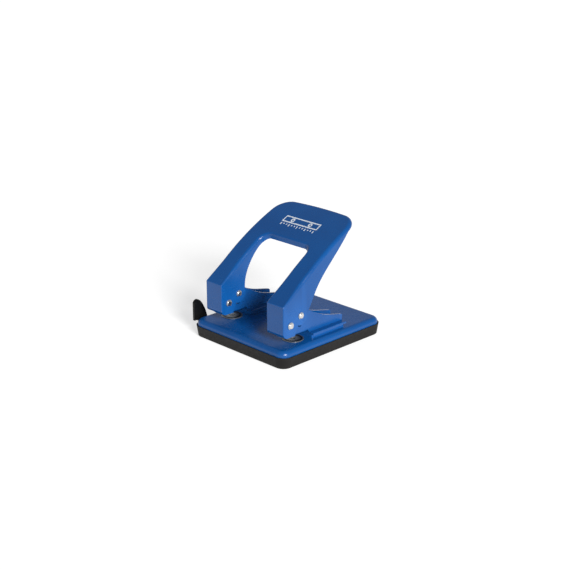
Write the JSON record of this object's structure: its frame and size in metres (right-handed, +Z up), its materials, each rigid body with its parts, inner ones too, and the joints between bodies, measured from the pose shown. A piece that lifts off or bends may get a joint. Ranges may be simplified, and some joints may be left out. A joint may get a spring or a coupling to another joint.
{
  "type": "hole punch",
  "caption": "Desk punch for filing holes in paper, with a sprung lever handle over paired punches, a chip tray base and a sliding paper guide.",
  "frame": {"origin": "middle of the flat underside that the punch stands on", "axes": "+Z up, +Y from the paper's edge side towards the handle's free end, +X to the right when the paper is fed along +Y"},
  "size_m": [0.1248, 0.1304, 0.1134],
  "materials": {
    "blue_enamel": "gloss",
    "blue_enamel_inner": "gloss",
    "tray_plastic": "matte",
    "guide_plastic": "satin",
    "hardened_steel": "ground",
    "bright_steel": "turned",
    "black_oxide_steel": "satin",
    "spring_steel": "drawn",
    "print_ink": "satin"
  },
  "bodies": {
    "base": {"base_plate": "blue_enamel", "die_left": "black_oxide_steel", "die_right": "black_oxide_steel", "bracket_left": "blue_enamel_inner", "bracket_right": "blue_enamel_inner", "foot_plate_left": "blue_enamel_inner", "foot_plate_right": "blue_enamel_inner", "paper_stop_left": "blue_enamel_inner", "paper_stop_right": "blue_enamel_inner", "guide_bush_left": "black_oxide_steel", "guide_bush_right": "black_oxide_steel", "bracket_rivets": "black_oxide_steel", "pivot_pin_left": "bright_steel", "pivot_pin_right": "bright_steel", "pivot_pin_clips": "black_oxide_steel", "guide_rail_outer": "spring_steel", "guide_rail_middle": "spring_steel", "return_spring_left": "spring_steel", "return_spring_right": "spring_steel"},
    "handle": {"handle": "blue_enamel", "drive_pin_left": "bright_steel", "drive_pin_right": "bright_steel", "drive_pin_clips": "black_oxide_steel"},
    "punch_left": {"punch_left": "hardened_steel"},
    "punch_right": {"punch_right": "hardened_steel"},
    "paper_guide": {"paper_guide": "guide_plastic"},
    "chip_tray": {"chip_tray": "tray_plastic"}
  },
  "joints": [
    {"name": "handle_press", "type": "hinge", "parent": "base", "child": "handle", "pos_m": [0, -0.0466, 0.0348], "axis": [-1, 0, 0], "range_deg": [0, 38], "stiffness_Nm_per_rad": 0.45, "springref_deg": -45.84},
    {"name": "punch_left_slide", "type": "slide", "parent": "base", "child": "punch_left", "axis": [0, 0, -1], "range_m": [0, 0.0094], "deforming": ["return_spring_left"]},
    {"name": "punch_right_slide", "type": "slide", "parent": "base", "child": "punch_right", "axis": [0, 0, -1], "range_m": [0, 0.0094], "deforming": ["return_spring_right"]},
    {"name": "paper_guide_slide", "type": "slide", "parent": "base", "child": "paper_guide", "axis": [-1, 0, 0], "range_m": [0, 0.0865]},
    {"name": "tray_release", "type": "slide", "parent": "base", "child": "chip_tray", "axis": [0, 0, -1], "range_m": [0, 0.025]}
  ],
  "couplings": [
    {"joint": "punch_left_slide", "follows": "handle_press", "m_per_rad": 0.01365},
    {"joint": "punch_right_slide", "follows": "handle_press", "m_per_rad": 0.01365}
  ]
}
